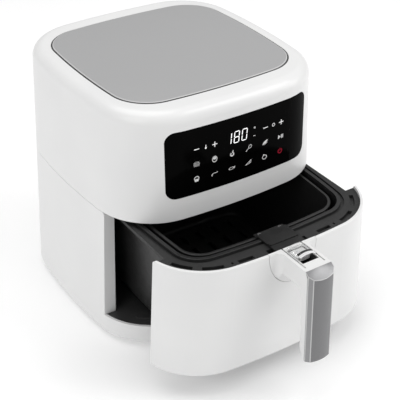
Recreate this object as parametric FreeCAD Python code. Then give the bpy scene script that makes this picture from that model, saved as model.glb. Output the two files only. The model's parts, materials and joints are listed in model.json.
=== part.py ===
import FreeCAD
import Part
import math
import os
from FreeCAD import Vector

# A drawer-type hot-air fryer: a white rounded-square housing, a pull-out pan with a lift-out basket,
# a handle with a guarded release button, and the fan, heater and electronics inside.
# Units are millimetres. X runs left to right, the drawer opens towards -Y, Z is up from the worktop.
# Pieces are drawn about the housing's vertical centre line with the drawer shut,
# then the drawer is pulled out and everything is moved to the origin under the middle of the whole.

# Housing, whose walls lean in a little towards the top
base_half_x = 153.2
base_half_y = 148.0
top_half_x = 138.8
top_half_y = 145.8
rim_top = 309.0
plate_top = 310.0
base_z = 3.5
side_bow = 835.0
body_corner = 75.5
wall = 3.0
rim_round = 14.0
base_round = 10.0
roof_z = 301.0
seam_z = 175.0
seam_bevel = 0.7
lip_z = 9.5
lip_inset = 15.0
tongue_reach = 9.0
tongue_rise = 5.0
tongue_wall = 2.0
tongue_bite = 0.5
shell_fit = 0.2
seat_gap = 0.01
far = 400.0

# Top plate, set into the rim
plate_half_x = 117.8
plate_half_y = 115.4
plate_corner = 47.7
plate_seat_z = 305.0
plate_gap = 0.7
plate_edge_round = 1.2

# Drawer mouth
sill_z = 32.0
jamb_y = -84.2
jamb_foot_x = 132.7
jamb_head_x = 127.3
jamb_top_gap = 3.2
jamb_round = 4.5
deck_z = 175.7
deck_thickness = 2.3
deck_inset = 5.3
chamber_r = 104.0
deck_post_x = 40.0
deck_post_half = 4.0
deck_post_y = 117.0
deck_post_depth = 7.0
deck_post_top_z = 282.0

# Touch panel window and rear vent window
touch_x = 4.3
touch_half_x = 96.0
touch_low_z = 203.7
touch_high_z = 286.3
touch_corner = 12.0
touch_sink = 0.1
carrier_margin = 4.0
carrier_thickness = 2.5
carrier_border = 8.0
post_x = 78.0
post_margin = 4.3
post_r = 3.0
board_y = -129.5
board_thickness = 1.6
board_half_x = 84.0
chip_at = (-70.0, -20.0, 30.0)
chip_width = 12.0
chip_low_z = 224.0
chip_height = 2.4
display_half_x = 28.0
display_low_z = 254.0
display_high_z = 274.0
display_front_y = -141.5
vent_half_x = 52.0
vent_low_z = 222.0
vent_high_z = 262.0
vent_corner = 8.0
vent_slat_count = 6
vent_slat_gap = 3.6
vent_sink = 0.3
vent_depth = 6.0
vent_border = 6.0
vent_clip_width = 12.0
vent_clip_reach = 5.0
vent_clip_hold = 2.0
fit_gap = 0.3

# Drawer bay
liner_half_x = 130.0
liner_back_y = 124.5
liner_corner = 42.0
liner_wall = 2.0
liner_front_y = jamb_y + wall + 0.2
rail_low_z = 160.5
rail_width = 8.0
rail_front_y = jamb_y + 5.0
rail_back_y = 80.0
rail_lead_in = 2.0
slide_gap = 0.4
floor_thickness = 3.0
floor_rib_inset = 13.0
floor_rib_width = 2.5
floor_rib_half_x = 118.0
floor_slot_inset = 6.0
floor_slot_width = 4.5
floor_slot_count = 6
floor_slot_pitch = 38.0
floor_slot_length = 18.0
floor_slot_back_y = -100.0
switch_x = 60.0
switch_z = 167.5
switch_half_x = 10.0
switch_depth = 10.0
switch_low = 8.5
switch_high = 7.0
plunger_r = 2.3
plunger_reach = 5.0
plunger_bore_depth = 8.5

# Drawer
drawer_open = 104.5
front_gap = 0.6
front_low_z = 32.8
front_top_z = 173.2
front_edge_round = 1.4
front_corner = 3.5
backing_low_z = 36.0
backing_thickness = 2.3
backing_flange = 11.0
backing_flange_height = 2.5
frame_low_z = 165.5
frame_top_z = 169.5
frame_half_x = 125.5
frame_back_y = 119.0
frame_corner = 40.0
frame_groove = 4.0
frame_groove_depth = 2.2
slot_outer_inset = 9.5
slot_inner_inset = 14.5
slot_straight_x = (43.5, 62.5)
slot_arcs_deg = ((205.5, 22.0), (236.8, 21.5))
clip_hole_x = (68.3, 70.5)
clip_hole_inset = 11.0
bridge_half_x = 26.5
bridge_depth = 11.0
pan_half = 113.6
pan_taper = 5.5
pan_corner = 32.0
pan_low_z = 42.0
pan_floor_round = 12.0
pan_wall = 1.4
pan_rim_width = 3.0
pan_rim_height = 1.5
pan_rim_round = 0.7
basket_half = 104.6
basket_taper = 4.7
basket_corner = 28.0
basket_floor_round = 8.0
basket_low_z = 50.0
basket_rim_z = 168.5
basket_wall = 1.4
basket_rim_width = 2.0
basket_rim_height = 2.4
basket_rim_round = 1.0
basket_ledge = 16.0
basket_foot_at = 66.0
basket_foot_r = 5.0
crisper_thickness = 2.4
crisper_gap = 7.0
crisper_rows = 6
crisper_row_pitch = 29.0
crisper_columns = 7
crisper_column_pitch = 24.0
crisper_slot_half_x = 3.0
crisper_slot_half_y = 10.0
pot_bow = 870.0

# Handle, in the drawer's shut position
notch_half_x = 32.3
notch_depth = 44.8
root_gap = 0.5
root_back_y = -142.8
root_mid_z = 160.0
arm_half_x = 17.5
arm_start_y = -144.3
arm_under_z = 147.0
arm_flare = 8.0
arm_nose_y = -189.0
grip_front_y = -192.6
grip_lean = 4.4
grip_back_y = -184.4
grip_back_lean = 2.2
grip_low_z = 55.5
grip_heel_z = 75.5
grip_throat_z = 133.0
nose_low_z = 166.0
facet_drop = 9.0
facet_run = 13.0
handle_edge_round = 2.4
throat_run = 14.0
throat_mid = (4.4, 10.2)
heel_mid = (0.33, 0.34)
insert_side = 1.5
insert_bevel_x = 4.2
insert_bevel_y = 4.5
insert_bulge = 8.4

# Release button, guard and latch
well_half_x = 10.8
well_back_y = -148.9
well_front_y = -176.6
well_low_z = 160.0
well_wall = 1.2
well_floor = 1.5
button_half_x = 9.2
button_back_y = -150.4
button_front_y = -164.6
button_low_z = 166.5
button_top_z = 171.8
button_corner = 1.5
button_ridges = 5
button_ridge_pitch = 3.0
button_ridge_width = 1.2
button_ridge_half_x = 7.0
button_ridge_height = 0.5
stem_y = -155.9
stem_r = 1.8
spring_half_turns = 6
spring_rise = 0.72
spring_r = 3.4
spring_wire_r = 0.3
guard_half_x = 13.5
guard_back_y = -147.8
guard_front_y = -171.4
guard_skirt_z = 170.5
guard_shoulder_z = 174.0
guard_crown_z = 178.4
guard_sheet = 1.2
guard_travel = 12.0
guard_slot_gap = 0.3
guard_ridge_half_x = 9.5
guard_ridge_width = 1.4
guard_ridge_height = 0.7
guard_ridges_at = (0.8, 4.8)
latch_y = -137.3
latch_z = 157.0
latch_half_x = 4.0
latch_half = 1.5
latch_leg_half = 1.6
latch_hub_r = 3.2
latch_toe_z = 134.2
hook_reach = 4.4
hook_height = 2.8
keeper_low_z = 137.4
keeper_height = 4.0
keeper_thickness = 2.0
keeper_half_x = 40.0
ear_thickness = 4.0
ear_low_z = 151.0
ear_high_z = 161.0
channel_gap = 0.6
channel_reach = 4.2
pin_r = 1.5
bracket_half_x = 20.0
bracket_sheet = 1.6
bracket_tab = 7.3
bracket_riser_gap = 3.1
bracket_foot = 4.5
bracket_bead_y = 11.5
bracket_bead_width = 6.0
bracket_bead_height = 1.2
bracket_slot_half_x = 6.0
bracket_screw_x = 15.0
bracket_screw_z = 166.5
bracket_screw_r = 1.5
bracket_screw_reach = 12.0
bracket_head_r = 3.2
bracket_head = 2.2
rivet_x = 14.0
rivet_r = 2.2
rivet_height = 1.0
rivet_round = 0.7

# Fan, heater and motor, on the housing's centre line
shaft_r = 3.0
shaft_low_z = 185.5
shaft_top_z = 272.0
dish_r = 98.0
dish_top_z = 203.0
dish_slope = 6.0
dish_flange_r = 110.0
dish_bore_r = 8.0
sheet = 1.2
shield_top_z = 212.0
shield_r = 113.0
shield_slope = 8.0
shield_flange_r = 122.0
shield_bore_r = 12.0
element_z = 183.0
element_r = 3.2
element_rings = (85.0, 73.0, 61.0)
element_gap_deg = 15.0
element_bend = 9.0
element_top_z = 222.0
bush_wall = 1.4
bush_collar = 4.0
bush_collar_height = 3.0
fan_r = 52.0
fan_blades = 12
fan_low_z = 189.0
fan_disc_z = 198.0
fan_lean_deg = 28.0
fan_hub_r = 8.0
fan_hub_rise = 3.0
blade_half = 0.6
blade_start = 0.42
blade_pivot = 0.7
blade_edge = 2.0
nut_half_flat = 5.0
nut_gap = 0.4
shaft_press = 0.02
shaft_gap = 0.05
cooler_r = 42.0
cooler_blades = 9
cooler_low_z = 217.0
cooler_disc_z = 229.0
cooler_lean_deg = -24.0
cooler_hub_rise = 4.0
bridge_z = 236.0
bridge_half = 52.0
bridge_corner = 10.0
bridge_thickness = 2.0
bridge_bore_r = 9.0
bridge_leg_at = 45.0
bridge_leg_r = 4.0
stator_low_z = 242.0
stator_top_z = 262.0
stator_half_x = 30.0
stator_half_y = 24.0
stator_corner = 3.0
stator_foot_x = 23.0
stator_foot_r = 4.0
coil_reach_x = 48.0
coil_half_y = 20.0
coil_corner = 6.0
coil_gap = 1.0
rotor_r = 12.6
rotor_gap = 0.5
cap_r = 16.0
cap_height = 5.0

# Power board and thermal cut-out
power_y = 115.4
power_half_x = 56.0
power_low_z = 214.0
power_high_z = 284.0
power_solder = 0.5
capacitor_r = 9.0
capacitor_x = -34.0
capacitor_z = 262.0
capacitor_length = 18.0
relay_x = (0.0, 20.0)
relay_z = (250.0, 276.0)
relay_depth = 16.0
transformer_x = (-18.0, 12.0)
transformer_z = (220.0, 244.0)
transformer_depth = 21.0
heat_sink_x = 30.0
heat_sink_fins = 4
heat_sink_pitch = 5.0
heat_sink_fin = 2.0
heat_sink_depth = 17.0
heat_sink_z = (220.0, 276.0)
cutout_x = 74.0
cutout_r = 8.0
cutout_height = 7.0
cutout_tab_at = 4.0
cutout_tab_half = 0.5
cutout_tab_rise = 9.0

# Base
foot_r = 10.0
foot_x = 88.0
foot_y = 84.0
foot_draft = 1.5
foot_stem_r = 3.0
foot_stem_rise = 5.0
base_plate_thickness = 2.5
base_slot_count = 11
base_slot_pitch = 12.0
base_slot_half_x = 2.0
base_slot_half_y = 22.0
base_slot_y = 30.0
base_screw_x = 104.0
base_screw_y = 40.0
base_screw_r = 1.5
base_screw_head_r = 3.4
base_screw_head = 2.2
base_screw_slot = 0.4
base_screw_top_z = 26.0
boss_r = 4.0
gland_x = -50.0
gland_z = 58.0
gland_r = 10.0
gland_neck_r = 7.0
gland_bore_r = 3.5
gland_flange = 7.0
gland_neck = 15.0
gland_nut = (14.0, 5.0)
gland_mouth = 3.0
gland_round = 1.5
gland_reach_y = 151.0

handle_reach_y = -grip_front_y + grip_lean + insert_bulge
origin_y = (handle_reach_y + drawer_open - gland_reach_y) / 2


# Shape helpers

def box(x0, x1, y0, y1, z0, z1):
    return Part.makeBox(x1 - x0, y1 - y0, z1 - z0, Vector(x0, y0, z0))


def cylinder(radius, x, y, z0, z1):
    return Part.makeCylinder(radius, z1 - z0, Vector(x, y, z0))


def cylinder_along_y(radius, x, y0, y1, z):
    return Part.makeCylinder(radius, y1 - y0, Vector(x, y0, z), Vector(0, 1, 0))


def cylinder_along_x(radius, x0, x1, y, z):
    return Part.makeCylinder(radius, x1 - x0, Vector(x0, y, z), Vector(1, 0, 0))


def fuse_all(shapes):
    joined = shapes[0].multiFuse(shapes[1:]) if len(shapes) > 1 else shapes[0]
    return joined.removeSplitter()


def prism(points, direction):
    """Extrudes the closed outline through points; a nested pair (through, end) adds an arc."""
    edges = []
    here = points[0]
    for point in points[1:] + points[:1]:
        if isinstance(point, tuple):
            edges.append(Part.Arc(here, point[0], point[1]).toShape())
            here = point[1]
        else:
            edges.append(Part.LineSegment(here, point).toShape())
            here = point
    return Part.Face(Part.Wire(edges)).extrude(direction)


def soft_rectangle(half_x, half_y, corner, bow, z):
    """A closed outline of four gently bowed sides joined by tangent corner arcs."""
    side_x, side_y = half_x - bow, half_y - bow
    reach = bow - corner
    half_span = math.hypot(side_x, side_y) / 2
    rise = math.sqrt(reach ** 2 - half_span ** 2)
    centre = Vector(side_x / 2 - rise * side_y / (2 * half_span),
                    side_y / 2 - rise * side_x / (2 * half_span), 0)
    side_end = Vector(side_x, 0, 0) + (centre - Vector(side_x, 0, 0)) * (bow / reach)
    end_start = Vector(0, side_y, 0) + (centre - Vector(0, side_y, 0)) * (bow / reach)
    bisector = (side_end - centre) + (end_start - centre)
    corner_mid = centre + bisector.normalize() * corner

    def at(point, sign_x, sign_y):
        return Vector(point.x * sign_x, point.y * sign_y, z)

    side_mid, end_mid = Vector(half_x, 0, 0), Vector(0, half_y, 0)
    arcs = [
        (at(side_end, 1, -1), at(side_mid, 1, 1), at(side_end, 1, 1)),
        (at(side_end, 1, 1), at(corner_mid, 1, 1), at(end_start, 1, 1)),
        (at(end_start, 1, 1), at(end_mid, 1, 1), at(end_start, -1, 1)),
        (at(end_start, -1, 1), at(corner_mid, -1, 1), at(side_end, -1, 1)),
        (at(side_end, -1, 1), at(side_mid, -1, 1), at(side_end, -1, -1)),
        (at(side_end, -1, -1), at(corner_mid, -1, -1), at(end_start, -1, -1)),
        (at(end_start, -1, -1), at(end_mid, 1, -1), at(end_start, 1, -1)),
        (at(end_start, 1, -1), at(corner_mid, 1, -1), at(side_end, 1, -1)),
    ]
    return Part.Wire([Part.Arc(*arc).toShape() for arc in arcs])


def soft_prism(half_x, half_y, corner, bow, z0, z1):
    face = Part.Face(soft_rectangle(half_x, half_y, corner, bow, z0))
    return face.extrude(Vector(0, 0, z1 - z0))


def body_half(z):
    """Half the body's width and depth at a height."""
    rise = z / rim_top
    return (base_half_x + (top_half_x - base_half_x) * rise, base_half_y + (top_half_y - base_half_y) * rise)


def body_outline(inset, z):
    half_x, half_y = body_half(z)
    return soft_rectangle(half_x - inset, half_y - inset, body_corner - inset, side_bow - inset, z)


def body_prism(inset, z0, z1, low_bevel=0.0, top_bevel=0.0):
    """A slice of the leaning body, drawn in from its outer face, with its ends bevelled where asked."""
    sections = [body_outline(inset, z0 + low_bevel), body_outline(inset, z1 - top_bevel)]
    if low_bevel:
        sections.insert(0, body_outline(inset + low_bevel, z0))
    if top_bevel:
        sections.append(body_outline(inset + top_bevel, z1))
    return Part.makeLoft(sections, True, True)


def body_shell(outer_inset, inner_inset, z0, z1):
    return body_prism(outer_inset, z0, z1).cut(body_prism(inner_inset, z0, z1))


def body_corner_centre(z):
    """Where the body's corner arcs are centred at a height, in the +X +Y quarter."""
    half_x, half_y = body_half(z)
    side_x, side_y = half_x - side_bow, half_y - side_bow
    half_span = math.hypot(side_x, side_y) / 2
    rise = math.sqrt((side_bow - body_corner) ** 2 - half_span ** 2)
    return (side_x / 2 - rise * side_y / (2 * half_span), side_y / 2 - rise * side_x / (2 * half_span))


def plate_prism(grow, z0, z1):
    return soft_prism(plate_half_x + grow, plate_half_y + grow, plate_corner + grow, side_bow + grow, z0, z1)


def pot_prism(half, corner, z0, z1):
    return soft_prism(half, half, corner, pot_bow, z0, z1)


def tapered_pot(half, taper, corner, z0, z1):
    bottom = soft_rectangle(half - taper, half - taper, corner - taper, pot_bow - taper, z0)
    top = soft_rectangle(half, half, corner, pot_bow, z1)
    return Part.makeLoft([bottom, top], True, True)


def window(half_x, z0, z1, corner, y0, y1):
    """A rounded rectangle in the XZ plane, run from y0 to y1."""
    upright = box(-half_x, half_x, y0, y1, z0, z1)
    corners = [e for e in upright.Edges if abs(e.Vertexes[0].X - e.Vertexes[1].X) < 1e-6
               and abs(e.Vertexes[0].Z - e.Vertexes[1].Z) < 1e-6]
    return upright.makeFillet(corner, corners)


def rounded_block(x0, x1, y0, y1, z0, z1, corner):
    block = box(x0, x1, y0, y1, z0, z1)
    corners = [e for e in block.Edges if abs(e.Vertexes[0].Z - e.Vertexes[1].Z) > 1e-6]
    return block.makeFillet(corner, corners)


def level_edges(shape, z):
    return [e for e in shape.Edges if abs(e.BoundBox.ZMin - z) < 1e-5 and abs(e.BoundBox.ZMax - z) < 1e-5]


def round_at(shape, z, radius):
    return shape.makeFillet(radius, level_edges(shape, z))


def both_sides(shape):
    """The shape and its mirror image across the middle plane."""
    return [shape, shape.mirror(Vector(0, 0, 0), Vector(1, 0, 0))]


def four_places(x, y):
    """The four corners of a rectangle about the centre line."""
    return [(side * x, end * y) for side in (-1, 1) for end in (-1, 1)]


def turned(profile):
    """Revolves an (r, z) polygon about the fan's axis."""
    outline = [Vector(r, 0, z) for r, z in profile]
    face = Part.Face(Part.makePolygon(outline + outline[:1]))
    return face.revolve(Vector(0, 0, 0), Vector(0, 0, 1), 360)


# Housing pieces

def touch_window(grow):
    """The touch panel's outline through the front wall, a little right of the middle, grown all round."""
    outline = window(touch_half_x + grow, touch_low_z - grow, touch_high_z + grow,
                     touch_corner + grow, -far, 0)
    return outline.translated(Vector(touch_x, 0, 0))


def upper_housing():
    low = seam_z
    outer = round_at(body_prism(0, low, rim_top, low_bevel=seam_bevel), rim_top, rim_round)
    hollow = round_at(body_prism(wall, low - 1, roof_z), roof_z, rim_round - wall)
    shell = outer.cut(hollow).cut(plate_prism(plate_gap, plate_seat_z, far))
    touch = touch_window(fit_gap)
    vent = window(vent_half_x + fit_gap, vent_low_z - fit_gap, vent_high_z + fit_gap,
                  vent_corner + fit_gap, 0, far)
    return shell.cut(touch).cut(vent)


def top_plate():
    return round_at(plate_prism(0, plate_seat_z, plate_top), plate_top, plate_edge_round)


def lower_housing():
    top = seam_z
    outer = round_at(body_prism(0, base_z, top, top_bevel=seam_bevel), base_z, base_round)
    shell = outer.cut(body_prism(wall, lip_z, far)).cut(body_prism(lip_inset, 0, lip_z + wall))
    shell = shell.cut(box(-far, far, -far, jamb_y, sill_z, far))
    jamb = body_prism(wall / 2, sill_z, top - jamb_top_gap)
    jamb = jamb.common(box(-far, far, jamb_y, jamb_y + wall, 0, far))
    mouth = [Vector(-jamb_foot_x, -far, 0), Vector(jamb_foot_x, -far, 0),
             Vector(jamb_head_x, -far, top), Vector(-jamb_head_x, -far, top)]
    jambs = jamb.cut(prism(mouth, Vector(0, 2 * far, 0)))
    tongue_low, tongue_inset = top - tongue_reach, wall + tongue_wall
    tongue = body_shell(wall - tongue_bite, tongue_inset, tongue_low, top)
    tongue = tongue.fuse(body_shell(wall + shell_fit, tongue_inset, tongue_low, top + tongue_rise))
    tongue = tongue.common(box(-far, far, jamb_y + wall, far, 0, far))
    shell = fuse_all([shell, jambs, tongue])
    round_y, round_z = jamb_y + jamb_round, top - jamb_round
    nib = box(-far, far, jamb_y - wall, round_y, round_z, far)
    shell = shell.cut(nib.cut(cylinder_along_x(jamb_round, -far, far, round_y, round_z)))
    return shell.cut(cylinder_along_y(gland_neck_r + 0.1, gland_x, 0, far, gland_z))


def base_plate():
    plate = body_prism(wall + fit_gap, lip_z, lip_z + base_plate_thickness)
    slots = []
    for i in range(base_slot_count):
        x = base_slot_pitch * (i - (base_slot_count - 1) / 2)
        for y in (-base_slot_y, base_slot_y):
            slots.append(rounded_block(x - base_slot_half_x, x + base_slot_half_x, y - base_slot_half_y,
                                       y + base_slot_half_y, 0, sill_z, 0.95 * base_slot_half_x))
    plate = plate.cut(Part.makeCompound(slots))
    screw_places = four_places(base_screw_x, base_screw_y)
    holes = [cylinder(foot_stem_r + 0.05, x, y, 0, sill_z) for x, y in four_places(foot_x, foot_y)]
    holes += [cylinder(base_screw_r + 0.1, x, y, 0, sill_z) for x, y in screw_places]
    return plate.cut(Part.makeCompound(holes))


def rubber_feet():
    feet = []
    for x, y in four_places(foot_x, foot_y):
        pad = Part.makeCone(foot_r - foot_draft, foot_r, lip_z, Vector(x, y, 0))
        feet.append(fuse_all([pad, cylinder(foot_stem_r, x, y, lip_z - 1, lip_z + foot_stem_rise)]))
    return Part.makeCompound(feet)


def base_screws():
    screws = []
    half, reach = base_screw_slot, 0.7 * base_screw_head_r
    for x, y in four_places(base_screw_x, base_screw_y):
        head = cylinder(base_screw_head_r, x, y, lip_z - base_screw_head, lip_z)
        head = head.cut(box(x - half, x + half, y - reach, y + reach, 0, lip_z - base_screw_head / 2))
        screws.append(fuse_all([head, cylinder(base_screw_r, x, y, lip_z - 0.5, base_screw_top_z)]))
    return Part.makeCompound(screws)


def touch_panel():
    skin = body_shell(touch_sink, wall, touch_low_z, touch_high_z)
    return skin.common(touch_window(0))


def panel_carrier():
    low, high = touch_low_z - carrier_margin, touch_high_z + carrier_margin
    frame = body_shell(wall + seat_gap, wall + carrier_thickness, low, high)
    frame = frame.common(touch_window(carrier_margin)).cut(touch_window(-carrier_border))
    inside = body_prism(wall + carrier_thickness / 5, 0, far)
    posts = [cylinder_along_y(post_r, x, -far, board_y, z).common(inside)
             for x in (touch_x - post_x, touch_x + post_x)
             for z in (touch_low_z + post_margin, touch_high_z - post_margin)]
    return fuse_all([frame] + posts)


def control_board():
    back = board_y + board_thickness
    board = box(touch_x - board_half_x, touch_x + board_half_x, board_y, back, touch_low_z, touch_high_z)
    chip_top_z = chip_low_z + chip_width
    chips = [box(x, x + chip_width, back, back + chip_height, chip_low_z, chip_top_z) for x in chip_at]
    return fuse_all([board] + chips)


def display_module():
    return box(-display_half_x, display_half_x, display_front_y, board_y, display_low_z, display_high_z)


def exhaust_grille():
    panel = body_shell(vent_sink, vent_depth, vent_low_z, vent_high_z)
    panel = panel.common(window(vent_half_x, vent_low_z, vent_high_z, vent_corner, 0, far))
    pitch = (vent_high_z - vent_low_z) / (vent_slat_count + 1)
    half = vent_slat_gap / 2
    for i in range(vent_slat_count):
        z = vent_low_z + pitch * (i + 1)
        panel = panel.cut(window(vent_half_x - vent_border, z - half, z + half, 0.95 * half, 0, far))
    ring = body_shell(wall, vent_depth, vent_low_z - vent_clip_reach, vent_high_z + vent_clip_reach)
    clips = []
    for z in (vent_low_z - vent_clip_reach, vent_high_z - vent_clip_hold):
        clip = box(vent_half_x - 1.5 * vent_clip_width, vent_half_x - vent_clip_width / 2, 0, far,
                   z, z + vent_clip_reach + vent_clip_hold)
        clips += both_sides(ring.common(clip))
    return fuse_all([panel] + clips)


def cord_gland():
    end = gland_reach_y
    bush = cylinder_along_y(gland_r, gland_x, end - gland_flange, end, gland_z).cut(body_prism(0, 0, far))
    bush = bush.makeFillet(gland_round, [e for e in bush.Edges if abs(e.BoundBox.YMin - end) < 1e-5])
    neck = cylinder_along_y(gland_neck_r, gland_x, end - gland_neck, end - gland_mouth, gland_z)
    nut = cylinder_along_y(gland_r, gland_x, end - gland_nut[0], end - gland_nut[1], gland_z)
    nut = nut.common(body_prism(wall, 0, far))
    return fuse_all([bush, neck, nut]).cut(cylinder_along_y(gland_bore_r, gland_x, 0, far, gland_z))


# Drawer bay

def bay_floor():
    floor = body_prism(wall + shell_fit, sill_z - floor_thickness, sill_z)
    rib = body_shell(floor_rib_inset, floor_rib_inset + floor_rib_width, sill_z - 1, sill_z + 2)
    rib = rib.common(box(-floor_rib_half_x, floor_rib_half_x, -far, jamb_y + wall, 0, far))
    screw_places = four_places(base_screw_x, base_screw_y)
    bosses = [cylinder(boss_r, x, y, lip_z + base_plate_thickness, sill_z - 1) for x, y in screw_places]
    floor = fuse_all([floor, rib] + bosses)
    slots = body_shell(floor_slot_inset, floor_slot_inset + floor_slot_width, sill_z - 2 * floor_thickness,
                       sill_z + 1)
    for i in range(floor_slot_count):
        x = floor_slot_pitch * (i - (floor_slot_count - 1) / 2) - floor_slot_length / 2
        floor = floor.cut(slots.common(box(x, x + floor_slot_length, -far, floor_slot_back_y, 0, far)))
    holes = [cylinder(base_screw_r + 0.05, x, y, 0, base_screw_top_z + 0.5) for x, y in screw_places]
    return floor.cut(Part.makeCompound(holes))


def bay_liner():
    front = jamb_y - 2 * liner_corner
    outer = rounded_block(-liner_half_x, liner_half_x, front, liner_back_y, sill_z, deck_z, liner_corner)
    inner_half = liner_half_x - liner_wall
    hollow = rounded_block(-inner_half, inner_half, front - liner_corner, liner_back_y - liner_wall, 0, far,
                           liner_corner - liner_wall)
    liner = outer.cut(hollow).cut(box(-far, far, -far, liner_front_y, 0, far))
    return liner.cut(cylinder_along_y(plunger_r + 0.4, switch_x, 0, far, switch_z))


def drawer_rails():
    inner, top = liner_half_x - liner_wall, frame_low_z - slide_gap
    rail = box(inner - rail_width, inner, rail_front_y, rail_back_y, rail_low_z, top)
    lead_in = [e for e in level_edges(rail, top) if abs(e.BoundBox.YMax - rail_front_y) < 1e-5]
    return Part.makeCompound(both_sides(rail.makeChamfer(rail_lead_in, lead_in)))


def chamber_deck():
    deck = body_prism(deck_inset, deck_z, deck_z + deck_thickness)
    deck = deck.cut(cylinder(chamber_r, 0, 0, 0, far))
    posts = both_sides(box(deck_post_x - deck_post_half, deck_post_x + deck_post_half, deck_post_y,
                           deck_post_y + deck_post_depth, deck_z + 1, deck_post_top_z))
    return fuse_all([deck] + posts)


def pressed_dish(radius, top_z, slope, flange_r, bore_r, hole_r):
    """A shallow dish of sheet metal, open downwards, with a flange and holes for the heating tube."""
    low = deck_z + deck_thickness
    profile = [(radius, low), (flange_r, low), (flange_r, low + sheet), (radius + sheet, low + sheet),
               (radius - slope + sheet, top_z + sheet), (bore_r, top_z + sheet), (bore_r, top_z),
               (radius - slope, top_z)]
    holes = [cylinder(hole_r, x, y, top_z - sheet, top_z + 2 * sheet) for x, y in element_ends()]
    return turned(profile).cut(Part.makeCompound(holes))


def heater_reflector():
    return pressed_dish(dish_r, dish_top_z, dish_slope, dish_flange_r, dish_bore_r, element_r + 0.6)


def heat_shield():
    return pressed_dish(shield_r, shield_top_z, shield_slope, shield_flange_r, shield_bore_r, element_r + 1.5)


def ring_point(radius, angle, ahead=0.0, z=element_z):
    """A point on a ring of the element, or ahead of it along the tangent; angles run from the back."""
    a = math.radians(angle + 90)
    return Vector(radius * math.cos(a) - ahead * math.sin(a), radius * math.sin(a) + ahead * math.cos(a), z)


def element_ends():
    """Where the two ends of the heating tube rise through the sheet metal."""
    first = ring_point(element_rings[0], element_gap_deg, -element_bend)
    last = ring_point(element_rings[-1], 360 - element_gap_deg, element_bend)
    return [(first.x, first.y), (last.x, last.y)]


def heating_element():
    """One tube in concentric rings, turning back on itself at the gap, with both ends bent up."""
    near, away = element_gap_deg, 360 - element_gap_deg
    elbow = element_bend * (1 - math.sqrt(0.5))
    lead_z = element_z + element_bend
    first, last = element_rings[0], element_rings[-1]
    edges = [Part.LineSegment(ring_point(first, near, -element_bend, element_top_z),
                              ring_point(first, near, -element_bend, lead_z)).toShape(),
             Part.Arc(ring_point(first, near, -element_bend, lead_z),
                      ring_point(first, near, elbow - element_bend, element_z + elbow),
                      ring_point(first, near)).toShape()]
    start, end = near, away
    for i, radius in enumerate(element_rings):
        points = [ring_point(radius, angle) for angle in (start, 180, end)]
        edges.append(Part.Arc(*points).toShape())
        if radius != last:
            inner = element_rings[i + 1]
            turn = (radius - inner) / 2
            out = turn if end == away else -turn
            edges.append(Part.Arc(ring_point(radius, end), ring_point(radius - turn, end, out),
                                  ring_point(inner, end)).toShape())
            start, end = end, start
    edges += [Part.Arc(ring_point(last, end), ring_point(last, end, element_bend - elbow, element_z + elbow),
                       ring_point(last, end, element_bend, lead_z)).toShape(),
              Part.LineSegment(ring_point(last, end, element_bend, lead_z),
                               ring_point(last, end, element_bend, element_top_z)).toShape()]
    x, y = element_ends()[0]
    section = Part.Wire(Part.Circle(Vector(x, y, element_top_z), Vector(0, 0, 1), element_r).toShape())
    return Part.Wire(edges).makePipeShell([section], True, False)


def heater_bushes():
    """Ceramic sleeves that carry the tube's ends through the shield."""
    bushes = []
    seat = shield_top_z + sheet
    for x, y in element_ends():
        sleeve = cylinder(element_r + bush_wall, x, y, dish_top_z + sheet, seat)
        collar = cylinder(element_r + bush_collar, x, y, seat, seat + bush_collar_height)
        bushes.append(fuse_all([sleeve, collar]).cut(cylinder(element_r, x, y, 0, far)))
    return Part.makeCompound(bushes)


def motor_bridge():
    plate = rounded_block(-bridge_half, bridge_half, -bridge_half, bridge_half, bridge_z,
                          bridge_z + bridge_thickness, bridge_corner)
    legs = [cylinder(bridge_leg_r, x, y, shield_top_z + sheet, bridge_z + bridge_thickness / 2)
            for x, y in four_places(bridge_leg_at, bridge_leg_at)]
    return fuse_all([plate.cut(cylinder(bridge_bore_r, 0, 0, 0, far))] + legs)


def motor_stator():
    stack = rounded_block(-stator_half_x, stator_half_x, -stator_half_y, stator_half_y,
                          stator_low_z, stator_top_z, stator_corner)
    stack = stack.cut(cylinder(rotor_r + rotor_gap, 0, 0, 0, far))
    foot = cylinder(stator_foot_r, stator_foot_x, 0, bridge_z + bridge_thickness, stator_low_z + 1)
    return fuse_all([stack] + both_sides(foot))


def motor_coil():
    return rounded_block(stator_half_x, coil_reach_x, -coil_half_y, coil_half_y, stator_low_z + coil_gap,
                         stator_top_z - coil_gap, coil_corner)


def bearing_caps():
    bore = cylinder(shaft_r + shaft_gap, 0, 0, 0, far)
    lower = cylinder(cap_r, 0, 0, bridge_z + bridge_thickness, stator_low_z)
    upper = cylinder(cap_r, 0, 0, stator_top_z, stator_top_z + cap_height)
    return Part.makeCompound([lower.cut(bore), upper.cut(bore)])


def power_board():
    board = box(-power_half_x, power_half_x, power_y, power_y + board_thickness, power_low_z, power_high_z)
    seat = power_y + power_solder
    capacitor = cylinder_along_y(capacitor_r, capacitor_x, power_y - capacitor_length, seat, capacitor_z)
    relay = box(*relay_x, power_y - relay_depth, seat, *relay_z)
    transformer = box(*transformer_x, power_y - transformer_depth, seat, *transformer_z)
    fins = []
    for i in range(heat_sink_fins):
        x = heat_sink_x + heat_sink_pitch * i
        fins.append(box(x, x + heat_sink_fin, power_y - heat_sink_depth, seat, *heat_sink_z))
    return fuse_all([board, capacitor, relay, transformer] + fins)


def thermal_cutout():
    seat = shield_top_z + sheet
    top = seat + cutout_height
    can = cylinder(cutout_r, cutout_x, 0, seat, top)
    tabs = [box(cutout_x - cutout_tab_at, cutout_x + cutout_tab_at, y - cutout_tab_half, y + cutout_tab_half,
                top - 1, top - 1 + cutout_tab_rise) for y in (-cutout_tab_at, cutout_tab_at)]
    return fuse_all([can] + tabs)


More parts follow.
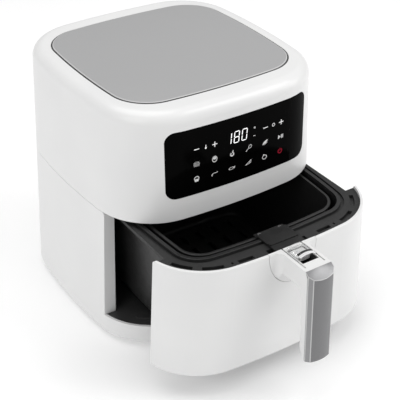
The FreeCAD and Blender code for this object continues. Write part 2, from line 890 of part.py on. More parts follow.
def door_switch():
    back = liner_back_y
    body = box(switch_x - switch_half_x, switch_x + switch_half_x, back, back + switch_depth,
               switch_z - switch_low, switch_z + switch_high)
    bore_end = back + plunger_bore_depth
    return body.cut(cylinder_along_y(plunger_r + 0.3, switch_x, back - 1, bore_end, switch_z))


def switch_plunger():
    return cylinder_along_y(plunger_r, switch_x, frame_back_y + 0.5, liner_back_y + plunger_reach, switch_z)


# Fan pieces, all on one shaft

def motor_shaft():
    return cylinder(shaft_r, 0, 0, shaft_low_z, shaft_top_z)


def motor_rotor():
    core = cylinder(rotor_r, 0, 0, stator_low_z + coil_gap, stator_top_z - coil_gap)
    return core.cut(cylinder(shaft_r + shaft_press, 0, 0, 0, far))


def bladed_wheel(radius, low_z, disc_z, blades, lean, hub_top_z):
    """A disc and hub with upright blades below it, each leaning by an angle from the radius."""
    parts = [cylinder(radius, 0, 0, disc_z, disc_z + sheet), cylinder(fan_hub_r, 0, 0, low_z, hub_top_z)]
    blade_top_z = disc_z + sheet / 2
    for i in range(blades):
        blade = box(radius * blade_start, radius - blade_edge, -blade_half, blade_half, low_z, blade_top_z)
        blade.rotate(Vector(radius * blade_pivot, 0, 0), Vector(0, 0, 1), lean)
        blade.rotate(Vector(0, 0, 0), Vector(0, 0, 1), 360 * i / blades)
        parts.append(blade)
    return fuse_all(parts).cut(cylinder(shaft_r + shaft_press, 0, 0, 0, far))


def convection_fan():
    return bladed_wheel(fan_r, fan_low_z, fan_disc_z, fan_blades, fan_lean_deg, fan_disc_z + fan_hub_rise)


def cooling_fan():
    return bladed_wheel(cooler_r, cooler_low_z, cooler_disc_z, cooler_blades, cooler_lean_deg,
                        cooler_disc_z + cooler_hub_rise)


def fan_nut():
    low = shaft_low_z + nut_gap
    reach = nut_half_flat / math.cos(math.pi / 6)
    turns = [math.pi / 3 * i for i in range(6)]
    corners = [Vector(reach * math.cos(turn), reach * math.sin(turn), low) for turn in turns]
    nut = prism(corners, Vector(0, 0, fan_low_z - low))
    return nut.cut(cylinder(shaft_r + shaft_press, 0, 0, 0, far))


# Drawer pieces

def front_half(shape, gap=0.0):
    """What lies ahead of the jambs."""
    return shape.common(box(-far, far, -far, jamb_y - front_gap - gap, 0, far))


def notch(grow):
    """The half-oval cut-out at the top of the drawer front that the handle's root drops into."""
    top = Vector(0, 0, front_top_z)
    wire = Part.Wire([Part.Ellipse(top, notch_depth + grow, notch_half_x + grow).toShape()])
    wire.rotate(top, Vector(0, 1, 0), 90)
    wire.rotate(top, Vector(0, 0, 1), 90)
    wire.translate(Vector(0, -far, 0))
    return Part.Face(wire).extrude(Vector(0, far - pan_half, 0))


def drawer_front():
    outer = body_prism(0, front_low_z, front_top_z)
    outer = round_at(round_at(outer, front_top_z, front_edge_round), front_low_z, front_edge_round)
    end_y = jamb_y - front_gap
    blank = box(-far, far, -far, end_y, front_low_z, front_top_z)
    ends = [e for e in blank.Edges if abs(e.BoundBox.YMin - end_y) < 1e-5 and e.BoundBox.XLength > far]
    blank = blank.makeFillet(front_corner, ends)
    hollow = body_prism(wall, front_low_z - 1, front_top_z + 1)
    return outer.cut(hollow).common(blank).cut(notch(0))


def front_backing():
    skin = body_shell(wall + seat_gap, wall + backing_thickness, backing_low_z, frame_low_z)
    flange = body_shell(wall + 1, wall + 1 + backing_flange, frame_low_z - backing_flange_height, frame_low_z)
    backing = front_half(fuse_all([skin, flange]), 0.4).cut(notch(root_gap))
    return backing.cut(box(-bridge_half_x - 0.5, bridge_half_x + 0.5, -far, 0, arm_under_z + 3, far))


def collar_slots():
    """The vent slots in the frame, on a line parallel to the drawer front, and a clip hole on each side."""
    low, top = frame_low_z - 1, frame_top_z + 1
    ring = body_shell(slot_outer_inset, slot_inner_inset, low, top)
    clip_ring = body_shell(clip_hole_inset, slot_inner_inset, low, top)
    slots = both_sides(ring.common(box(*slot_straight_x, -far, 0, 0, far)))
    slots += both_sides(clip_ring.common(box(*clip_hole_x, -far, 0, 0, far)))
    x, y = body_corner_centre(frame_top_z)
    for start, sweep in slot_arcs_deg:
        wedge = Part.makeCylinder(far, top - low + 2, Vector(-x, -y, low - 1), Vector(0, 0, 1), sweep)
        wedge.rotate(Vector(-x, -y, 0), Vector(0, 0, 1), start)
        slots += both_sides(ring.common(wedge))
    return slots


def drawer_frame():
    front = front_half(body_prism(wall + seat_gap, frame_low_z, frame_top_z))
    rear = rounded_block(-frame_half_x, frame_half_x, jamb_y - frame_corner - 1, frame_back_y, frame_low_z,
                         frame_top_z, frame_corner)
    rear = rear.cut(box(-far, far, -far, jamb_y - front_gap - 1, 0, far))
    near = pan_rim_width + 0.2
    groove = pot_prism(pan_half + near + frame_groove, pan_corner + near + frame_groove,
                       frame_top_z - frame_groove_depth, far)
    groove = groove.cut(pot_prism(pan_half + near, pan_corner + near, 0, far))
    groove = groove.common(box(-far, far, -far, rail_back_y, 0, far))
    opening = pot_prism(pan_half + slide_gap, pan_corner + slide_gap, 0, far)
    frame = fuse_all([front, rear]).cut(opening).cut(groove)
    frame = frame.cut(Part.makeCompound(collar_slots()))
    frame = frame.cut(box(-notch_half_x - 1, notch_half_x + 1, -far, root_back_y + 0.5, 0, far))
    return frame.cut(box(-bridge_half_x, bridge_half_x, -far, root_back_y + bridge_depth, 0, far))


def pan():
    top, floor = frame_top_z + pan_rim_height, pan_low_z + pan_wall
    outer = round_at(tapered_pot(pan_half, pan_taper, pan_corner, pan_low_z, top), pan_low_z, pan_floor_round)
    hollow = tapered_pot(pan_half - pan_wall, pan_taper, pan_corner - pan_wall, floor, top)
    hollow = round_at(hollow, floor, pan_floor_round - pan_wall)
    rim = pot_prism(pan_half + pan_rim_width, pan_corner + pan_rim_width, frame_top_z, top)
    return fuse_all([outer, round_at(rim, top, pan_rim_round)]).cut(hollow)


def basket():
    outer = tapered_pot(basket_half, basket_taper, basket_corner, basket_low_z, basket_rim_z)
    outer = round_at(outer, basket_low_z, basket_floor_round)
    hollow = tapered_pot(basket_half - basket_wall, basket_taper, basket_corner - basket_wall,
                         basket_low_z + basket_wall, basket_rim_z)
    hollow = round_at(hollow, basket_low_z + basket_wall, basket_floor_round - basket_wall)
    rim = pot_prism(basket_half + basket_rim_width, basket_corner + basket_rim_width,
                    basket_rim_z - basket_rim_height, basket_rim_z)
    rim = round_at(rim, basket_rim_z, basket_rim_round)
    floor_half = basket_half - basket_taper - basket_ledge
    opening = pot_prism(floor_half, basket_corner - basket_taper - basket_ledge, 0, 2 * basket_low_z)
    feet = [cylinder(basket_foot_r, x, y, pan_low_z + pan_wall, basket_low_z + basket_wall / 2)
            for x, y in four_places(basket_foot_at, floor_half + basket_ledge / 3)]
    return fuse_all([fuse_all([outer, rim]).cut(hollow).cut(opening)] + feet)


def crisper_plate():
    low = basket_low_z + basket_wall
    drawn_in = basket_taper + basket_wall + crisper_gap
    plate = pot_prism(basket_half - drawn_in, basket_corner - drawn_in, low, low + crisper_thickness)
    half_x, half_y = crisper_slot_half_x, crisper_slot_half_y
    slots = []
    for i in range(crisper_columns):
        x = crisper_column_pitch * (i - (crisper_columns - 1) / 2)
        for j in range(crisper_rows):
            y = crisper_row_pitch * (j - (crisper_rows - 1) / 2)
            slots.append(rounded_block(x - half_x, x + half_x, y - half_y, y + half_y, low - 1,
                                       low + 2 * crisper_thickness, 0.96 * half_x))
    return plate.cut(Part.makeCompound(slots))


def handle_bracket():
    """A steel strap from the basket's rim over the pan's rim to the back of the handle's root."""
    rim, strap, back = basket_rim_z, frame_top_z + pan_rim_height, root_back_y
    steel, half = bracket_sheet, bracket_half_x
    riser = -basket_half - bracket_riser_gap
    tab, foot = riser + bracket_tab, bracket_screw_z - bracket_foot
    outline = [(tab, rim), (riser, rim), (riser, strap), (back + steel, strap), (back + steel, foot),
               (back, foot), (back, strap + steel), (riser + steel, strap + steel),
               (riser + steel, rim + steel), (tab, rim + steel)]
    bracket = prism([Vector(-half, y, z) for y, z in outline], Vector(2 * half, 0, 0))
    bead_y = back + bracket_bead_y
    bead = rounded_block(-half, half, bead_y, bead_y + bracket_bead_width, strap + 1,
                         strap + steel + bracket_bead_height, bracket_bead_width / 3)
    slot = box(-bracket_slot_half_x, bracket_slot_half_x, back - 1, back + 2 * steel, 0, strap - 0.5)
    hole_r = bracket_screw_r + 0.1
    hole = cylinder_along_y(hole_r, bracket_screw_x, back - 1, back + 2 * steel, bracket_screw_z)
    return fuse_all([bracket, bead]).cut(slot).cut(Part.makeCompound(both_sides(hole)))


def handle_screws():
    seat = root_back_y + bracket_sheet
    head = cylinder_along_y(bracket_head_r, bracket_screw_x, seat, seat + bracket_head, bracket_screw_z)
    thread = cylinder_along_y(bracket_screw_r, bracket_screw_x, root_back_y - bracket_screw_reach, seat + 0.4,
                              bracket_screw_z)
    return Part.makeCompound(both_sides(fuse_all([head, thread])))


def bracket_rivets():
    seat = basket_rim_z + bracket_sheet
    rivet = cylinder(rivet_r, rivet_x, -basket_half + 1, seat, seat + rivet_height)
    return Part.makeCompound(both_sides(round_at(rivet, seat + rivet_height, rivet_round)))


def grip_front(z):
    """How far forward the white grip reaches at a height; it leans out towards its foot."""
    return grip_front_y - grip_lean * (front_top_z - z) / (front_top_z - grip_low_z)


def handle_profile():
    """The side view of arm and grip, from the root round the nose and back under the arm."""
    def p(y, z):
        return Vector(-arm_half_x, y, z)
    heel_y, toe_y = grip_back_y - grip_back_lean, grip_front(grip_low_z)
    heel = p(heel_y + heel_mid[0] * (toe_y - heel_y), grip_low_z + heel_mid[1] * (grip_heel_z - grip_low_z))
    throat = p(grip_back_y + throat_mid[0], grip_throat_z + throat_mid[1])
    return [p(arm_start_y, front_top_z), p(arm_nose_y, front_top_z), p(grip_front(nose_low_z), nose_low_z),
            p(toe_y, grip_low_z), (heel, p(heel_y, grip_heel_z)), p(grip_back_y, grip_throat_z),
            (throat, p(grip_back_y + throat_run, arm_under_z)), p(arm_start_y, arm_under_z - 1)]


def handle_body():
    blade = prism(handle_profile(), Vector(2 * arm_half_x, 0, 0))
    rims = [e for e in blade.Edges if e.BoundBox.XLength < 1e-5 and e.BoundBox.ZMax < front_top_z - 1
            and e.BoundBox.YMax < arm_start_y + 1e-5]
    rims = [e for e in rims if not (e.BoundBox.YLength < 1e-5 and e.BoundBox.YMax > arm_start_y - 1e-5)]
    blade = blade.makeFillet(handle_edge_round, rims)
    half_x, half_y = body_half(root_mid_z)
    root = soft_prism(half_x, half_y, body_corner, side_bow, front_top_z - notch_depth - wall, front_top_z)
    root = root.common(notch(-root_gap)).common(box(-far, far, -far, root_back_y, 0, far))
    ear = box(latch_half_x + 1, latch_half_x + 1 + ear_thickness, root_back_y - 2, latch_y + ear_thickness,
              ear_low_z, ear_high_z)
    body = fuse_all([flared(fuse_all([root, blade]))] + both_sides(ear))
    return body.cut(Part.makeCompound(handle_hollows()))


def handle_hollows():
    """The well's seat, the guard's two slots, the latch's channel, its pin's bore and the screws' holes."""
    seat = box(-well_half_x - 0.1, well_half_x + 0.1, well_front_y - 0.1, well_back_y + 0.1, well_low_z, far)
    slot = box(guard_half_x - guard_sheet - guard_slot_gap, guard_half_x + guard_slot_gap,
               guard_front_y - guard_travel - 0.5, root_back_y + wall, guard_skirt_z - 0.4, far)
    channel_half = latch_half_x + channel_gap
    channel = box(-channel_half, channel_half, stem_y - channel_reach, -pan_half, ear_low_z + 0.2,
                  well_low_z + 0.01)
    bore = cylinder_along_x(pin_r + 0.03, -arm_half_x, arm_half_x, latch_y, latch_z)
    screw_end = root_back_y - bracket_screw_reach - 1
    screw = cylinder_along_y(bracket_screw_r + 0.05, bracket_screw_x, screw_end, -pan_half, bracket_screw_z)
    return [seat, channel, bore] + both_sides(slot) + both_sides(screw)


def flared(body):
    """Blends the arm into the root with a wide hollow curve."""
    seams = []
    face_y = -body_half(root_mid_z)[1]
    for edge in body.Edges:
        b = edge.BoundBox
        near_root = face_y - 0.6 < b.YMin and b.YMax < face_y + 0.9
        on_arm = max(abs(b.XMin), abs(b.XMax)) < arm_half_x + 0.1 and b.ZMin > arm_under_z - 3
        if near_root and on_arm and b.ZMin < front_top_z - 1:
            seams.append(edge)
    return body.makeFillet(arm_flare, seams)


def grip_insert():
    side, low = arm_half_x, grip_low_z + 1

    def p(x, forward):
        return Vector(x, grip_front(low) - forward, low)
    shoulder = insert_side + insert_bevel_y
    section = [p(-side, 0), p(-side, insert_side), p(-side + insert_bevel_x, shoulder),
               (p(0, insert_bulge), p(side - insert_bevel_x, shoulder)), p(side, insert_side), p(side, 0)]
    bar = prism(section, Vector(0, grip_front(front_top_z) - grip_front(low), front_top_z - low))
    cap = prism([Vector(-side, y, z) for y, z in ((grip_front(nose_low_z), nose_low_z),
                                                  (grip_front_y, front_top_z), (arm_nose_y, front_top_z))],
                Vector(2 * side, 0, 0))
    above = prism([Vector(-far, y, z) for y, z in
                   ((arm_nose_y, front_top_z), (arm_nose_y - 2 * facet_run, front_top_z - 2 * facet_drop),
                    (arm_nose_y - 2 * facet_run, far), (arm_nose_y, far))], Vector(2 * far, 0, 0))
    return fuse_all([bar, cap]).cut(above)


# Release mechanism

def button_well():
    outer = box(-well_half_x, well_half_x, well_front_y, well_back_y, well_low_z, front_top_z - 1)
    inner = well_half_x - well_wall
    hollow = box(-inner, inner, well_front_y + well_wall, well_back_y - well_wall,
                 well_low_z + well_floor, far)
    return outer.cut(hollow).cut(cylinder(stem_r + 0.4, 0, stem_y, 0, far))


def release_button():
    cap = rounded_block(-button_half_x, button_half_x, button_front_y, button_back_y,
                        button_low_z, button_top_z, button_corner)
    ridges = []
    for i in range(button_ridges):
        y = button_back_y - button_ridge_width - button_ridge_pitch * i
        ridges.append(box(-button_ridge_half_x, button_ridge_half_x, y - button_ridge_width, y,
                          button_top_z - button_ridge_height, button_top_z + button_ridge_height))
    stem = cylinder(stem_r, 0, stem_y, latch_z + latch_half + 0.4, button_low_z + 1)
    return fuse_all([cap, stem] + ridges)


def button_spring():
    """A coil of half turns, each a flat arc that meets the next with a level tangent."""
    low = well_low_z + well_floor + spring_wire_r
    arcs = []
    for i in range(spring_half_turns):
        reach = spring_r if i % 2 == 0 else -spring_r
        z = low + i * spring_rise
        arcs.append(Part.Arc(Vector(reach, stem_y, z), Vector(0, stem_y + reach, z + spring_rise / 2),
                             Vector(-reach, stem_y, z + spring_rise)).toShape())
    section = Part.Circle(Vector(spring_r, stem_y, low), Vector(0, 1, 0), spring_wire_r).toShape()
    return Part.Wire(arcs).makePipeShell([Part.Wire(section)], True, False)


def guard_form(inward, low_z, y0, y1):
    """The guard's arched section, drawn in from its outer face and run from y0 to y1."""
    def p(x, z):
        return Vector(x, y0, z)
    x0, shoulder, crown = guard_half_x - inward, guard_shoulder_z - inward / 2, guard_crown_z - inward
    return prism([p(-x0, low_z), p(-x0, shoulder), (p(0, crown), p(x0, shoulder)), p(x0, low_z)],
                 Vector(0, y1 - y0, 0))


def slide_guard():
    hood = guard_form(0, guard_skirt_z, guard_front_y, guard_back_y)
    span = box(-guard_ridge_half_x, guard_ridge_half_x, -far, 0, 0, far)
    ridges = [guard_form(-guard_ridge_height, guard_shoulder_z, guard_front_y + at,
                         guard_front_y + at + guard_ridge_width).common(span) for at in guard_ridges_at]
    hollow = guard_form(guard_sheet, guard_skirt_z - 1, guard_front_y - 1, guard_back_y + 1)
    return fuse_all([hood] + ridges).cut(hollow)


def release_latch():
    half, leg = latch_half_x, latch_leg_half
    arm = box(-half, half, stem_y - stem_r - 0.6, latch_y, latch_z - latch_half, latch_z + latch_half)
    shank = box(-half, half, latch_y - leg, latch_y + leg, latch_toe_z, latch_z)
    hook = box(-half, half, latch_y - hook_reach, latch_y + leg, latch_toe_z, latch_toe_z + hook_height)
    hub = cylinder_along_x(latch_hub_r, -half, half, latch_y, latch_z)
    bore = cylinder_along_x(pin_r + 0.06, -arm_half_x, arm_half_x, latch_y, latch_z)
    return fuse_all([arm, shank, hook, hub]).cut(bore)


def latch_pin():
    reach = latch_half_x + 1 + ear_thickness
    return cylinder_along_x(pin_r, -reach, reach, latch_y, latch_z)


def latch_keeper():
    inset = wall + backing_thickness
    inset += seat_gap
    strap = body_shell(inset, inset + keeper_thickness, keeper_low_z, keeper_low_z + keeper_height)
    return strap.common(box(-keeper_half_x, keeper_half_x, -far, 0, 0, far))


housing = {
    "upper_housing": upper_housing, "top_plate": top_plate, "lower_housing": lower_housing,
    "base_plate": base_plate, "rubber_feet": rubber_feet, "base_screws": base_screws,
    "touch_panel": touch_panel, "panel_carrier": panel_carrier, "control_board": control_board,
    "display_module": display_module, "exhaust_grille": exhaust_grille, "cord_gland": cord_gland,
    "bay_floor": bay_floor, "bay_liner": bay_liner, "drawer_rails": drawer_rails,
    "chamber_deck": chamber_deck,
    "heater_reflector": heater_reflector, "heat_shield": heat_shield, "heating_element": heating_element,
    "heater_bushes": heater_bushes,
    "motor_bridge": motor_bridge, "motor_stator": motor_stator, "motor_coil": motor_coil,
    "bearing_caps": bearing_caps, "power_board": power_board, "thermal_cutout": thermal_cutout,
    "door_switch": door_switch, "switch_plunger": switch_plunger, "motor_shaft": motor_shaft,
    "motor_rotor": motor_rotor, "convection_fan": convection_fan, "cooling_fan": cooling_fan,
    "fan_nut": fan_nut,
}
drawer = {
    "drawer_front": drawer_front, "front_backing": front_backing, "drawer_frame": drawer_frame, "pan": pan,
    "basket": basket, "crisper_plate": crisper_plate, "handle_bracket": handle_bracket,
    "handle_screws": handle_screws, "bracket_rivets": bracket_rivets, "handle_body": handle_body,
    "grip_insert": grip_insert, "button_well": button_well, "release_button": release_button,
    "button_spring": button_spring, "slide_guard": slide_guard, "release_latch": release_latch,
    "latch_pin": latch_pin, "latch_keeper": latch_keeper,
}

os.makedirs("parts", exist_ok=True)
for group, pulled in ((housing, 0.0), (drawer, -drawer_open)):
    for name, build in group.items():
        shape = build()
        shape.translate(Vector(0, origin_y + pulled, 0))
        if not shape.isValid() or shape.Volume <= 0:
            print("check", name, shape.isValid(), shape.Volume)
        shape.exportStep("parts/" + name + ".step")
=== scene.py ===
import bpy
import bmesh
import json
import math
from mathutils import Matrix, Vector


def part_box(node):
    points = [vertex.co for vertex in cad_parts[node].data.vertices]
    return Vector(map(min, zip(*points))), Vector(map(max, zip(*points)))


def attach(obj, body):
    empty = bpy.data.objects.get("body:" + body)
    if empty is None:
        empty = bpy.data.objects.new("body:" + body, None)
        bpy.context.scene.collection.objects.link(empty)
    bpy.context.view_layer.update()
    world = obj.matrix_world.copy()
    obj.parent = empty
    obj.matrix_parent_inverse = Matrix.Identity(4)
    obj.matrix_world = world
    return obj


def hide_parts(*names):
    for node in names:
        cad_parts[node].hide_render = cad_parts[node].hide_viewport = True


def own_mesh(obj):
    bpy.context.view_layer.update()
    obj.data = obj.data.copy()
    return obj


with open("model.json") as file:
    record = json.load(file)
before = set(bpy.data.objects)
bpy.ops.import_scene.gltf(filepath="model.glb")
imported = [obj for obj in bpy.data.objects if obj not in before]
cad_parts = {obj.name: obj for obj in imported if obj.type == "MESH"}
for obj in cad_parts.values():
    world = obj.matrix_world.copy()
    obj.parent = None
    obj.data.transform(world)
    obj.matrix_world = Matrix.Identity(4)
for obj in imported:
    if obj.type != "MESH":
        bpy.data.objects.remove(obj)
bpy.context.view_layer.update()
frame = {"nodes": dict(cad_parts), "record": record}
nodes = frame["nodes"]
mm = 0.001


# node helpers, used by every finish

def newFinish(name, **sockets):
    mat = bpy.data.materials.new(name)
    mat.use_nodes = True
    shader = mat.node_tree.nodes["Principled BSDF"]
    for socket, value in sockets.items():
        shader.inputs[socket.replace("_", " ")].default_value = value
    return mat, mat.node_tree, shader


def surfacePoint(tree, stretch=(1, 1, 1)):
    coords = tree.nodes.new("ShaderNodeTexCoord")
    mapping = tree.nodes.new("ShaderNodeMapping")
    mapping.inputs["Scale"].default_value = stretch
    tree.links.new(coords.outputs["Object"], mapping.inputs["Vector"])
    return mapping.outputs["Vector"]


def noiseAt(tree, point, scale, detail=2.0):
    noise = tree.nodes.new("ShaderNodeTexNoise")
    noise.inputs["Scale"].default_value = scale
    noise.inputs["Detail"].default_value = detail
    tree.links.new(point, noise.inputs["Vector"])
    return noise.outputs["Fac"]


def cellsAt(tree, point, scale):
    cells = tree.nodes.new("ShaderNodeTexVoronoi")
    cells.inputs["Scale"].default_value = scale
    tree.links.new(point, cells.inputs["Vector"])
    return cells.outputs["Distance"]


def spread(tree, value, low, high, fromLow=0.3, fromHigh=0.7):
    remap = tree.nodes.new("ShaderNodeMapRange")
    limits = {"From Min": fromLow, "From Max": fromHigh, "To Min": low, "To Max": high}
    for socket, number in limits.items():
        remap.inputs[socket].default_value = number
    tree.links.new(value, remap.inputs["Value"])
    return remap.outputs["Result"]


def tint(tree, value, dark, light, fromLow=0.3, fromHigh=0.7):
    ramp = tree.nodes.new("ShaderNodeValToRGB")
    ramp.color_ramp.elements[0].position = fromLow
    ramp.color_ramp.elements[1].position = fromHigh
    ramp.color_ramp.elements[0].color = (*dark, 1)
    ramp.color_ramp.elements[1].color = (*light, 1)
    tree.links.new(value, ramp.inputs["Fac"])
    return ramp.outputs["Color"]


def paint(tree, shader, colour, rough):
    tree.links.new(colour, shader.inputs["Base Color"])
    tree.links.new(rough, shader.inputs["Roughness"])


def relief(tree, shader, height, depth):
    bump = tree.nodes.new("ShaderNodeBump")
    bump.inputs["Distance"].default_value = depth
    bump.inputs["Strength"].default_value = 1.0
    tree.links.new(height, bump.inputs["Height"])
    tree.links.new(bump.outputs["Normal"], shader.inputs["Normal"])


def grey(level):
    return (level, level, level)


# finishes: clouds vary the colour, smears the roughness, grain the surface

def whiteShell():
    look = {"dark": grey(0.735), "light": (0.765, 0.765, 0.76), "clouds": 9, "rough": (0.3, 0.38),
            "smears": 60, "grain": 1500, "depth": 0.008 * mm}
    mat, tree, shader = newFinish("whiteShell", Coat_Weight=0.25, Coat_Roughness=0.12)
    point = surfacePoint(tree)
    colour = tint(tree, noiseAt(tree, point, look["clouds"]), look["dark"], look["light"])
    rough = spread(tree, noiseAt(tree, point, look["smears"], detail=4), *look["rough"])
    paint(tree, shader, colour, rough)
    relief(tree, shader, noiseAt(tree, point, look["grain"], detail=3), look["depth"])
    return mat


def plateGrey(name, dark, light):
    look = {"speckle": 900, "rough": (0.36, 0.46), "smears": 14, "grain": 2600, "depth": 0.02 * mm}
    mat, tree, shader = newFinish(name)
    point = surfacePoint(tree)
    colour = tint(tree, noiseAt(tree, point, look["speckle"], detail=3), dark, light)
    rough = spread(tree, noiseAt(tree, point, look["smears"], detail=4), *look["rough"])
    paint(tree, shader, colour, rough)
    relief(tree, shader, noiseAt(tree, point, look["grain"]), look["depth"])
    return mat


def gripGrey(name, dark, light):
    look = {"flake": 4200, "flakeSize": (0.0, 0.5), "rough": (0.28, 0.36), "smears": 120, "grain": 2400,
            "depth": 0.006 * mm}
    mat, tree, shader = newFinish(name, Metallic=0.25, Coat_Weight=0.3, Coat_Roughness=0.2)
    point = surfacePoint(tree)
    colour = tint(tree, cellsAt(tree, point, look["flake"]), light, dark, *look["flakeSize"])
    rough = spread(tree, noiseAt(tree, point, look["smears"], detail=3), *look["rough"])
    paint(tree, shader, colour, rough)
    relief(tree, shader, noiseAt(tree, point, look["grain"]), look["depth"])
    return mat


def blackGlass():
    look = {"dark": grey(0.0008), "light": grey(0.002), "clouds": 6, "rough": (0.05, 0.11), "smears": 22}
    mat, tree, shader = newFinish("blackGlass", Specular_IOR_Level=0.015)
    point = surfacePoint(tree)
    colour = tint(tree, noiseAt(tree, point, look["clouds"]), look["dark"], look["light"])
    rough = spread(tree, noiseAt(tree, point, look["smears"], detail=5), *look["rough"])
    paint(tree, shader, colour, rough)
    return mat


def satinPlastic(name, dark, light, rough, grain, depth, gloss=0.4):
    look = {"clouds": 40, "smears": 180}
    mat, tree, shader = newFinish(name, Specular_IOR_Level=gloss)
    point = surfacePoint(tree)
    colour = tint(tree, noiseAt(tree, point, look["clouds"], detail=3), dark, light)
    paint(tree, shader, colour, spread(tree, noiseAt(tree, point, look["smears"], detail=3), *rough))
    relief(tree, shader, noiseAt(tree, point, grain, detail=3), depth)
    return mat


def nonStick(name, coat, fleck):
    look = {"flecks": 900, "fleckSize": (0.04, 0.16), "rough": (0.3, 0.44), "smears": 90, "grain": 1100,
            "depth": 0.02 * mm}
    mat, tree, shader = newFinish(name, Specular_IOR_Level=0.45)
    point = surfacePoint(tree)
    colour = tint(tree, cellsAt(tree, point, look["flecks"]), fleck, coat, *look["fleckSize"])
    rough = spread(tree, noiseAt(tree, point, look["smears"], detail=4), *look["rough"])
    paint(tree, shader, colour, rough)
    relief(tree, shader, noiseAt(tree, point, look["grain"]), look["depth"])
    return mat


def metal(name, dark, light, rough, stretch, lines, depth):
    mat, tree, shader = newFinish(name, Metallic=1.0)
    brushed = noiseAt(tree, surfacePoint(tree, stretch), lines, detail=4)
    paint(tree, shader, tint(tree, brushed, dark, light), spread(tree, brushed, *rough))
    relief(tree, shader, brushed, depth)
    return mat


def copperWinding():
    look = {"dark": (0.12, 0.04, 0.012), "light": (0.5, 0.22, 0.08), "turns": 220, "waver": 1.5,
            "bands": (0.1, 0.9), "rough": (0.5, 0.28), "depth": 0.3 * mm}
    mat, tree, shader = newFinish("copperWinding", Metallic=0.7, Coat_Weight=0.5)
    wave = tree.nodes.new("ShaderNodeTexWave")
    wave.bands_direction = "Z"
    wave.inputs["Scale"].default_value = look["turns"]
    wave.inputs["Distortion"].default_value = look["waver"]
    tree.links.new(surfacePoint(tree), wave.inputs["Vector"])
    wire = wave.outputs["Fac"]
    colour = tint(tree, wire, look["dark"], look["light"], *look["bands"])
    paint(tree, shader, colour, spread(tree, wire, *look["rough"], 0, 1))
    relief(tree, shader, wire, look["depth"])
    return mat


def boardGreen():
    look = {"lacquer": (0.006, 0.045, 0.016), "track": (0.03, 0.12, 0.045), "tracks": 240,
            "rough": (0.3, 0.5), "smears": 300}
    mat, tree, shader = newFinish("boardGreen", Coat_Weight=0.4)
    brick = tree.nodes.new("ShaderNodeTexBrick")
    brick.inputs["Scale"].default_value = look["tracks"]
    brick.inputs["Color1"].default_value = (*look["lacquer"], 1)
    brick.inputs["Color2"].default_value = (*look["lacquer"], 1)
    brick.inputs["Mortar"].default_value = (*look["track"], 1)
    point = surfacePoint(tree)
    point.node.inputs["Rotation"].default_value = (math.pi / 2, 0, 0)      # tracks on the upright boards
    tree.links.new(point, brick.inputs["Vector"])
    rough = spread(tree, noiseAt(tree, point, look["smears"]), *look["rough"])
    paint(tree, shader, brick.outputs["Color"], rough)
    return mat


def clearGuard():
    look = {"dark": (0.96, 0.97, 0.98), "light": grey(1.0), "clouds": 40, "rough": (0.02, 0.07),
            "smears": 260}
    mat, tree, shader = newFinish("clearGuard", Transmission_Weight=1.0, IOR=1.49, Alpha=0.3)
    point = surfacePoint(tree)
    colour = tint(tree, noiseAt(tree, point, look["clouds"]), look["dark"], look["light"])
    rough = spread(tree, noiseAt(tree, point, look["smears"], detail=3), *look["rough"])
    paint(tree, shader, colour, rough)
    return mat


def panelInk(name, dark, light, glow):
    look = {"speckle": 700}
    mat, tree, shader = newFinish(name, Roughness=0.5, Specular_IOR_Level=0.08, Emission_Strength=glow,
                                  Emission_Color=(*light, 1))
    colour = tint(tree, noiseAt(tree, surfacePoint(tree), look["speckle"], detail=3), dark, light)
    tree.links.new(colour, shader.inputs["Base Color"])
    return mat


# one finish for each slot of the record, then those of single pieces

finish = {
    "white_shell": whiteShell(),
    "grey_plate": plateGrey("plateGrey", grey(0.325), (0.37, 0.37, 0.375)),
    "grip_grey": gripGrey("gripGrey", (0.15, 0.15, 0.154), (0.215, 0.215, 0.22)),
    "black_glass": blackGlass(),
    "display_black": satinPlastic("displayBlack", grey(0.006), grey(0.012), rough=(0.4, 0.5), grain=1200,
                                  depth=0.01 * mm),
    "black_plastic": satinPlastic("blackPlastic", grey(0.028), grey(0.04), rough=(0.32, 0.46), grain=1300,
                                  depth=0.03 * mm),
    "frame_grey": satinPlastic("collarGrey", grey(0.016), grey(0.022), rough=(0.46, 0.6), grain=1600,
                               depth=0.03 * mm),
    "nonstick": nonStick("nonStick", coat=grey(0.013), fleck=grey(0.06)),
    "steel": metal("brushedSteel", grey(0.42), grey(0.6), rough=(0.24, 0.4), stretch=(1, 18, 18),
                   lines=260, depth=0.01 * mm),
    "heater_steel": metal("heaterSheath", (0.12, 0.105, 0.095), (0.27, 0.26, 0.25), rough=(0.38, 0.55),
                          stretch=(1, 1, 1), lines=160, depth=0.02 * mm),
    "aluminium": metal("pressedAluminium", grey(0.6), grey(0.76), rough=(0.28, 0.42), stretch=(1, 1, 6),
                       lines=240, depth=0.01 * mm),
    "winding": copperWinding(),
    "bush_white": satinPlastic("ceramicWhite", (0.66, 0.64, 0.58), (0.78, 0.76, 0.7), rough=(0.6, 0.75),
                               grain=700, depth=0.04 * mm),
    "circuit_green": boardGreen(),
    "foot_rubber": satinPlastic("footRubber", grey(0.02), grey(0.032), rough=(0.7, 0.85), grain=900,
                                depth=0.05 * mm, gloss=0.25),
    "clear_guard": clearGuard(),
}
# painted light: a paler copy of the non-stick for the crisper deep in the basket
crisperCoatPaintedLight = nonStick("crisperCoatPaintedLight", coat=grey(0.024), fleck=grey(0.1))
# painted shade: a near-black copy of the plate grey for the plate's sides and the shelf in the rim's gap
plateSidePaintedShade = plateGrey("plateSidePaintedShade", grey(0.05), grey(0.07))
# painted highlight: a pale copy of the plate grey for the lid's rounded top edge
plateEdgePaintedHighlight = plateGrey("plateEdgePaintedHighlight", grey(0.5), grey(0.56))
# painted light: a paler copy of the grip grey for the slanted chamfers and the up-facing facet, lighter
# for how light falls on them
gripChamferPaintedLight = gripGrey("gripChamferPaintedLight", (0.24, 0.24, 0.245), (0.33, 0.33, 0.335))
